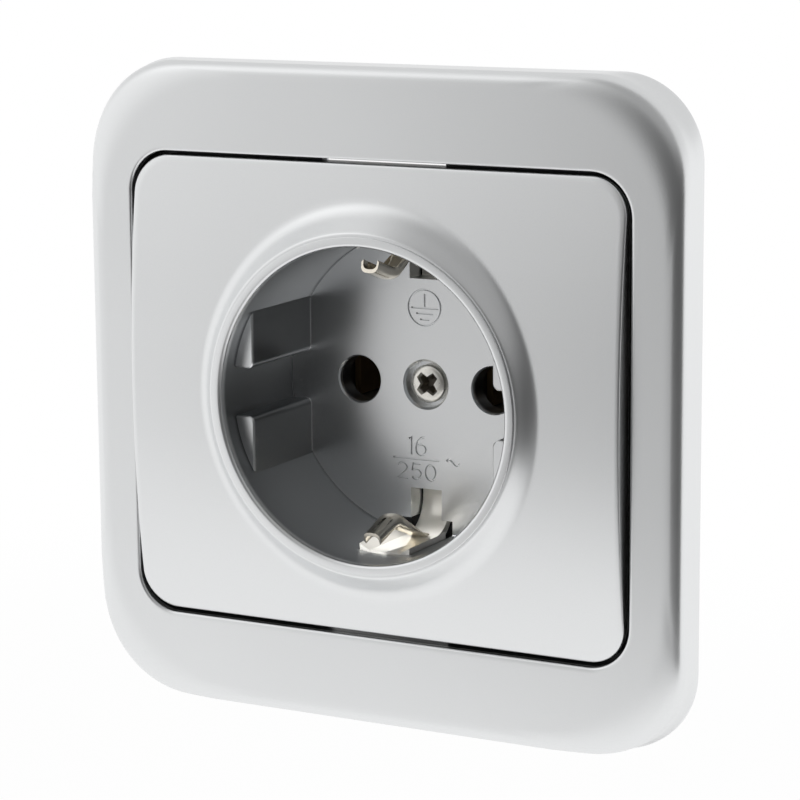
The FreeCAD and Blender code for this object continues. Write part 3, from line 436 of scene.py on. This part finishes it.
# %% Frame contours
def contour(wide, tall, corner, arc=24, side=24):
    """Points (x, z) round a rectangle with round corners."""
    centres = [(wide - corner, tall - corner), (corner - wide, tall - corner), (corner - wide, corner - tall),
               (wide - corner, corner - tall)]
    points = []
    for quarter, (x, z) in enumerate(centres):
        turns = [math.pi / 2 * (quarter + i / arc) for i in range(arc + 1)]
        points += [(x + corner * math.cos(a), z + corner * math.sin(a)) for a in turns]
        last, following = points[-1], centres[(quarter + 1) % 4]
        first = (following[0] + corner * math.cos(turns[-1]), following[1] + corner * math.sin(turns[-1]))
        points += [tuple(p + (q - p) * j / side for p, q in zip(last, first)) for j in range(1, side)]
    return points


def between(first, second, share):
    return [tuple(p + (q - p) * share for p, q in zip(one, two)) for one, two in zip(first, second)]


def smooth(low, high, value):
    share = min(max((value - low) / (high - low), 0.0), 1.0)
    return share * share * (3 - 2 * share)


print("a contour has", len(contour(2, 2, 1)), "points")

# %% Frame edge
FACE_Y, HALF = -5.9, 40.75
FOOT_CORNER, FRONT_CORNER, FLAT_CORNER = 10.4, 12.2, 17.5


def edge_profile(slump, wide, edge, steep):
    """Pairs of inset share and depth: up the wall, round the edge, then a slump that eases out."""
    tilt, last = math.radians(slump), math.radians(steep)
    total, sag = wide + edge * (math.sin(last) - math.sin(tilt)), wide * math.tan(tilt) / 3
    middle = FACE_Y + sag + edge * math.cos(tilt)
    top = middle - edge * math.cos(last)
    profile = [(0, 0), (0, -0.6), (0, top * 0.5), (0, top + 0.12)]
    for i in range(9):
        a = last + (tilt - last) * i / 8
        profile.append((edge * (math.sin(last) - math.sin(a)) / total, middle - edge * math.cos(a)))
    for i in range(1, 10):
        profile.append((1 - wide * (1 - i / 9) / total, FACE_Y + sag * (1 - i / 9) ** 3))
    return profile, total


crisp, ROLL_WIDTH = edge_profile(slump=3, wide=1.3, edge=1.5, steep=74)
melted = edge_profile(slump=15, wide=4.5, edge=2.4, steep=90)[0]
outside = contour(HALF, HALF, FRONT_CORNER)
foot = contour(HALF, HALF, FOOT_CORNER)
flat = contour(HALF - ROLL_WIDTH, HALF - ROLL_WIDTH, FLAT_CORNER)
corner_share = [smooth(23, 35, min(abs(x), abs(z))) for x, z in outside]
frame_loops = []
for (crisp_in, crisp_y), (melted_in, melted_y) in zip(crisp, melted):
    loop, lift = [], smooth(0.0, 3.6, -crisp_y)
    for (x, z), (u, w), share in zip(between(foot, outside, lift), flat, corner_share):
        inset = crisp_in + (melted_in - crisp_in) * share
        loop.append((x + (u - x) * inset, crisp_y + (melted_y - crisp_y) * share, z + (w - z) * inset))
    frame_loops.append(loop)
print("frame edge has", len(frame_loops), "loops of", len(outside), "points")

# %% Frame face, lip and ledge
LIP, OUTLINE = 0.3, (HALF, HALF, 12.0)
LEDGE, BEHIND_LIP = grown(OPENING, -1.8), grown(OPENING, 1.6)
WALL, FOOT_INSIDE = grown(OUTLINE, -2.7), grown(OUTLINE, -2.0)
QUARTER = [math.radians(a) for a in (22.5, 45, 67.5, 90)]


def frame_loop(y, wide, tall, corner):
    return [(x, y, z) for x, z in contour(wide, tall, corner)]


lip = contour(*grown(OPENING, LIP))
for share in (0.05, 0.5, 0.95, 1.0):
    frame_loops.append([(x, FACE_Y, z) for x, z in between(flat, lip, share)])
for a in QUARTER:
    out, drop = LIP * (1 - math.sin(a)), LIP * (1 - math.cos(a))
    frame_loops.append(frame_loop(FACE_Y + drop, *grown(OPENING, out)))
for y, outline in ((-5.1, OPENING), (-2.4, OPENING), (-2.4, LEDGE), (-1.3, LEDGE), (-1.3, BEHIND_LIP),
                   (-3.2, BEHIND_LIP), (-3.2, WALL), (-1.3, WALL), (-1.3, FOOT_INSIDE), (0, FOOT_INSIDE)):
    frame_loops.append(frame_loop(y, *outline))
cover = solid("frame_shell", skin(frame_loops, ring=True))
notches = [block((-8.5, -3.5, low), (8.5, 0.5, low + 2.7)) for low in (26.9, -29.6)]
carve(cover, solid("notches", *notches))
dress(cover, silver)
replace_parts(cover, "cover_frame")

# %% [markdown]
# ## Centre plate
# Plate, flare, rim and recess are one moulding. The plate bows forward between top and bottom, and the flare
# is a cone that runs into it with a soft root. Round loops near the recess turn bit by bit into the plate's
# rectangle, and the depth of each point comes from the bow, so the face has no facets.

# %% Plate surface
EDGE, CROWN, PLATE_EDGE = 0.25, 7.7, 5.4
BOW = CROWN - PLATE_EDGE
BOW_RADIUS = (PLATE[1] ** 2 + BOW ** 2) / (2 * BOW)
SHOULDER_Y, FLARE_START, FLARE_SLOPE, ROOT = -9.05, 21.15, 1.1, 1.0
THICK, SKIRT, SKIRT_END, CUP, CUP_END = 2.2, 1.6, -2.4, 21.4, 11.2
spokes = [math.atan2(z, x) for x, z in contour(*PLATE, arc=14, side=44)]


def bowed(z):
    return BOW_RADIUS - CROWN - math.sqrt(BOW_RADIUS ** 2 - z * z)


def face_y(radius, z):
    """The cone or the plate, whichever lies further forward, with a soft root between them."""
    cone, plate = SHOULDER_Y + FLARE_SLOPE * (radius - FLARE_START), bowed(z)
    soft = max(ROOT - abs(cone - plate), 0.0)
    return min(cone, plate) - soft * soft / (4 * ROOT)


def round_loop(radius, y):
    return [(radius * math.cos(a), y, radius * math.sin(a)) for a in spokes]


def plate_contour(grow):
    return contour(*grown(PLATE, grow), arc=14, side=44)


print("plate is bowed with a radius of mm", round(BOW_RADIUS, 1))

# %% Plate loops
FILLET, RIM_ROUND, ROUND_END = 0.12, 0.45, 25.3


def arc(radius, y, size, *angles):
    """Pairs of radius and depth on a small round, by its angle from straight ahead."""
    turns = [math.radians(a) for a in angles]
    return [(radius + size * math.sin(a), y - size * math.cos(a)) for a in turns]


profile = [(r, FLOOR_Y) for r in (1.0, 10.0, 17.0, 19.25)]
profile += arc(RECESS - FILLET, FLOOR_Y - FILLET, FILLET, 180, 157.5, 135, 112.5, 90)
profile += [(RECESS, y) for y in (7.95, 4.0, 0.0, -4.0, -8.2, RIM_Y + RIM_ROUND)]
profile += arc(RECESS + RIM_ROUND, RIM_Y + RIM_ROUND, RIM_ROUND, -75, -60, -45, -30, -15, 0)
profile += [(20.1, RIM_Y), (20.62, RIM_Y), (20.7, -9.29), (20.75, -9.24)]
profile += [(20.75, SHOULDER_Y), (20.85, SHOULDER_Y)]
profile += arc(20.95, SHOULDER_Y + RIM_ROUND, RIM_ROUND, 0, 12, 24, 36, 47.7)
loops = [round_loop(r, y) for r, y in profile]
for r in [21.5 + 0.25 * i for i in range(11)] + [24.3, 24.7, ROUND_END]:
    loops.append([(x, face_y(r, z), z) for x, y, z in round_loop(r, 0)])
inner = [(x, z) for x, y, z in round_loop(ROUND_END, 0)]
for share in (0.12, 0.3, 0.5, 0.7, 0.85, 0.95, 1.0):
    loops.append([(x, bowed(z), z) for x, z in between(inner, plate_contour(-EDGE), share)])
for a in QUARTER:
    out, drop = EDGE * (math.sin(a) - 1), EDGE * (1 - math.cos(a))
    loops.append([(x, bowed(z) + drop, z) for x, z in plate_contour(out)])
loops.append([(x, bowed(z) + 0.7, z) for x, z in plate_contour(0)])
loops += [[(x, SKIRT_END, z) for x, z in plate_contour(grow)] for grow in (0, -SKIRT)]
loops.append([(x, bowed(z) + THICK, z) for x, z in plate_contour(-SKIRT)])
loops.append([(x, bowed(z) + THICK, z) for x, y, z in round_loop(CUP, 0)])
loops.append(round_loop(CUP, CUP_END))
plate = solid("plate_moulding", skin(loops))
print("plate surface has", len(loops), "loops of", len(spokes), "points")

# %% [markdown]
# Two pairs of guide ribs stand on the recess wall and leave a groove between them for the plug's key. They
# are prisms with a rounded inner edge and a slightly broken front edge, joined on before anything is cut.

# %% Guide ribs
RIB_IN, RIB_LOW, RIB_ROUND, RIB_ROOT = 16.6, 3.0, 0.8, 20.45
RIB_END, RIB_BREAK, RIB_MIDDLE = 9.4, RIB_FRONT + 0.15, (20.5, 7.5)


def rib(side, up):
    turns = [math.radians(180 + 90 * i / 6) for i in range(7)]
    x, z = RIB_IN + RIB_ROUND, RIB_LOW + RIB_ROUND
    outline = [(x + RIB_ROUND * math.cos(a), z + RIB_ROUND * math.sin(a)) for a in turns]
    turns = [math.radians(a) for a in range(9, 36, 3)]
    outline += [(RIB_ROOT * math.cos(a), RIB_ROOT * math.sin(a)) for a in turns]
    outline.append((RIB_IN, math.sqrt(RIB_ROOT ** 2 - RIB_IN ** 2)))
    broken = between(outline, [RIB_MIDDLE] * len(outline), 0.03)
    return skin([[(side * x, y, up * z) for x, z in shape] for shape, y in (
        (outline, RIB_END), (outline, RIB_BREAK), (broken, RIB_FRONT))])


ribs = [rib(side, up) for side in (1, -1) for up in (1, -1)]
carve(plate, solid("ribs", *ribs), "UNION")
print("ribs joined on:", len(ribs))

# %% [markdown]
# The marks are engraved in the recess floor: the earth sign over the screw, and the rating below it. Each
# stroke is a small V-shaped bar that follows a line and is cut out of the floor.

# %% Strokes
LINE, OVER, UNDER = 0.26, FLOOR_Y - 0.12, FLOOR_Y + 0.2


def stroke(line, width=LINE, closed=False):
    """A V-shaped bar along points (x, z), standing through the floor."""
    count, sections = len(line), []
    for i, (x, z) in enumerate(line):
        before = line[i - 1] if closed or i else line[0]
        after = line[(i + 1) % count] if closed or i < count - 1 else line[-1]
        along = Vector((after[0] - before[0], after[1] - before[1])).normalized()
        off = Vector((-along.y, along.x)) * width / 2
        sections.append([(x + k * off.x, y, z + k * off.y) for k, y in (
            (1.5, OVER), (-1.5, OVER), (-0.45, UNDER), (0.45, UNDER))])
    return skin(sections, ring=closed)


def bend(x, z, wide, tall, start, end, count=20):
    turns = [math.radians(start + (end - start) * i / count) for i in range(count + 1)]
    return [(x + wide * math.cos(a), z + tall * math.sin(a)) for a in turns]


def oval(x, z, wide, tall, width=LINE):
    return stroke(bend(x, z, wide, tall, 0, 360, 40)[:-1], width, closed=True)


earth = [oval(-0.1, 9.8, 2.28, 2.28, 0.22), stroke([(-0.05, 11.52), (-0.05, 9.9)], 0.28)]
BARS = ((9.72, 1.9), (9.02, 1.2), (8.27, 0.66))
earth += [stroke([(-0.07 - reach, z), (-0.07 + reach, z)], 0.2) for z, reach in BARS]
sixteen = [stroke([(-2.43, -7.12), (-2.03, -6.72), (-2.03, -9.16)]),
           stroke([(-0.2, -6.78)] + bend(-0.2, -8.45, 1.2, 1.67, 112, 176, 10)),
           oval(-0.68, -8.44, 0.7, 0.68)]
bar = [stroke([(-4.69, -9.66), (1.88, -9.66)], 0.24)]
rating = [stroke(bend(-3.36, -10.86, 0.66, 0.6, 165, -38) + [(-4.06, -12.27), (-2.6, -12.27)]),
          stroke([(-0.78, -10.29), (-1.84, -10.29), (-1.98, -11.2)]
                 + bend(-1.4, -11.6, 0.7, 0.66, 128, -145)),
          oval(0.66, -11.29, 0.72, 0.98)]
shares = [i / 16 for i in range(17)]
swing = [(2.9 + 1.85 * t, -9.68 + 0.3 * math.sin(2 * math.pi * t) - 0.1 * (2 * t - 1)) for t in shares]
marks = earth + sixteen + bar + rating + [stroke(swing)]
print("marks:", len(marks), "strokes")

# %% [markdown]
# The last cuts are the pin holes, the screw's pocket and the stepped slots that the earth contacts come
# through. The round ones have their edges broken, as a tool leaves them. All cuts go in one carving.

# %% Holes and slots
PIN_X, IN_FRONT, THROUGH = 9.5, 7.9, 11.6
pin_hole = [(3.18, IN_FRONT), (3.18, 8.12), (2.93, 8.42), (2.93, THROUGH)]
pocket = [(3.3, IN_FRONT), (3.3, 8.12), (2.95, 8.5), (2.95, 10.2), (1.5, 10.2), (1.5, THROUGH)]
cuts = [turn(pin_hole, x=-PIN_X), turn(pin_hole, x=PIN_X), turn(pocket)]
for up in (1, -1):
    for half, start, end, front in ((2.2, 13.4, 17.35, IN_FRONT), (3.7, 17.3, 20.4, -3.2)):
        below, over = sorted((up * start, up * end))
        cuts.append(block((-half, front, below), (half, THROUGH, over)))
carve(plate, solid("cuts", *cuts, *marks))
dress(plate, silver, crease=28)
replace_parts(plate, "centre_plate")

# %% [markdown]
# ## Centre screw
# One screw in the floor holds plate and contacts together. Its low, nearly flat head carries a cross recess
# with tapered arms, and its shank a rolled thread. The thread is a turned shape whose radius depends on angle
# and depth together, so its crest winds round.

# %% Threaded shank and cross
def thread(start, end, crest, root, pitch=0.7, count=32):
    """Loops of a shank along Y whose radius winds up with the angle."""
    rows = int((end - start) / pitch * 8)
    loops = []
    for k in range(rows + 1):
        y = start + (end - start) * k / rows
        fade = smooth(0.0, 0.7, y - start) * smooth(0.0, 0.9, end - y)
        taper = 0.35 * (crest - 0.5) * smooth(0.8, 0.0, end - y)
        loop = []
        for i, a in enumerate(full_turn(count)):
            wave = abs(2 * (((y - start) / pitch - i / count) % 1.0) - 1)
            radius = root + (crest - root) * fade * wave - taper
            loop.append((radius * math.cos(a), y, radius * math.sin(a)))
        loops.append(loop)
    return loops


def cross(y_front, y_back, reach, root, tip, shrink):
    """A tapered cross with its arms on the diagonals."""
    shape = []
    for quarter in range(4):
        arm = Matrix.Rotation(math.pi / 2 * quarter + math.pi / 4, 2)
        shape += [arm @ Vector(p) for p in ((root, -root), (reach, -tip), (reach, tip))]
    return skin([[(k * p.x, y, k * p.y) for p in shape] for k, y in ((1.0, y_front), (shrink, y_back))])


shank = thread(start=10.21, end=17.7, crest=1.4, root=1.15)
print("shank has", len(shank), "loops")

# %% Screw head
head = [(0.7, 8.51), (1.3, 8.54), (1.9, 8.58), (2.2, 8.63), (2.34, 8.72), (2.41, 8.86), (2.43, 9.1),
        (2.43, 10.1), (2.36, 10.2), (1.15, 10.2)]
loops = [[(r * math.cos(a), y, r * math.sin(a)) for a in full_turn(32)] for r, y in head]
screw = solid("screw_middle", skin(loops + shank))
carve(screw, solid("recess", cross(y_front=8.4, y_back=10.0, reach=1.72, root=0.7, tip=0.48, shrink=0.4)))
dress(screw, cross_steel, crease=30)
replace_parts(screw, "centre_screw")

# %% [markdown]
# ## Earth springs
# Each spring is a tongue of nickelled strip, pressed into a gutter so that it stays stiff: convex to the
# plug, with its edges turned back. It lies flat on the leg, rises to a nose, and slopes away at the tip. A
# gutter section is swept along the bent line, and it deepens and narrows on the way.

# %% Spring line
# Pairs of depth and distance from the axis, from the leg to the tip.
corners = [(6.5, 18.9), (5.7, 18.9), (-0.5, 14.9), (-2.2, 14.9), (-6.3, 16.3)]


def rounded(points, reach=1.1, count=8):
    """The same line with every corner bent in a soft curve."""
    line = [Vector(points[0])]
    for before, corner, after in zip(points, points[1:], points[2:]):
        before, corner, after = Vector(before), Vector(corner), Vector(after)
        start = corner + (before - corner).normalized() * min(reach, (before - corner).length / 2)
        end = corner + (after - corner).normalized() * min(reach, (after - corner).length / 2)
        for i in range(count + 1):
            t = i / count
            line.append(start * (1 - t) ** 2 + corner * 2 * t * (1 - t) + end * t * t)
    return line + [Vector(points[-1])]


spring_line = rounded(corners)
steps = [0.0]
for one, two in zip(spring_line, spring_line[1:]):
    steps.append(steps[-1] + (two - one).length)
print("spring strip is mm long:", round(steps[-1], 1))

# %% Spring pieces
OUTER, INNER = 0.26, -0.2


def gutter(share):
    """Half width and rise of the section at a share of the line's length."""
    return 1.3 - 0.1 * smooth(0.6, 1.0, share), 0.12 + 1.15 * smooth(0.1, 0.5, share)


def spring(name, up):
    loops = []
    for i, point in enumerate(spring_line):
        before, after = spring_line[max(i - 1, 0)], spring_line[min(i + 1, len(spring_line) - 1)]
        along = (after - before).normalized()
        away = Vector((along.y, -along.x))
        half, rise = gutter(steps[i] / steps[-1])
        section = []
        for edge, turns in ((OUTER, range(9)), (INNER, range(8, -1, -1))):
            for k in turns:
                a = math.pi * (k / 8 - 0.5)
                sink = rise * (1 - abs(math.cos(a)) ** 0.6) - edge * math.cos(a * 0.6)
                side = math.copysign(abs(math.sin(a)) ** 0.7, a)
                spot = point + away * sink
                section.append(((half + 0.5 * (edge - OUTER)) * side, spot.x, up * spot.y))
        loops.append(section)
    made = solid(name, skin(loops))
    dress(made, nickel, crease=50)
    return made


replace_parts(spring("spring_upper", 1), "earth_spring_top")
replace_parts(spring("spring_lower", -1), "earth_spring_bottom")

# %% [markdown]
# ## CAD parts that stay
# The other parts are flat strip, screws, rivets and the pressed base, which the CAD meshes already show. They
# keep their shape and only get a finish.

# %% Finishes on the CAD parts
FINISH = {"earth_bracket": satin, "support_ring": zinc, "claw_left": zinc, "claw_right": zinc,
          "ring_rivets": steel, "terminal_screws": steel, "claw_screws": steel,
          "pin_contact_left": brass, "pin_contact_right": brass, "clamp_plate_left": brass,
          "clamp_plate_right": brass, "clamp_plate_earth": brass, "contact_base": thermoset,
          "cover_frame": silver, "centre_plate": silver, "centre_screw": steel, "earth_spring_top": nickel,
          "earth_spring_bottom": nickel}
for name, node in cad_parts.items():
    for held in node.material_slots:
        held.material = FINISH[name]
print("CAD parts with a finish:", len(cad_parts))

# %% [markdown]
# The dressed model has to stay in the CAD model's box.
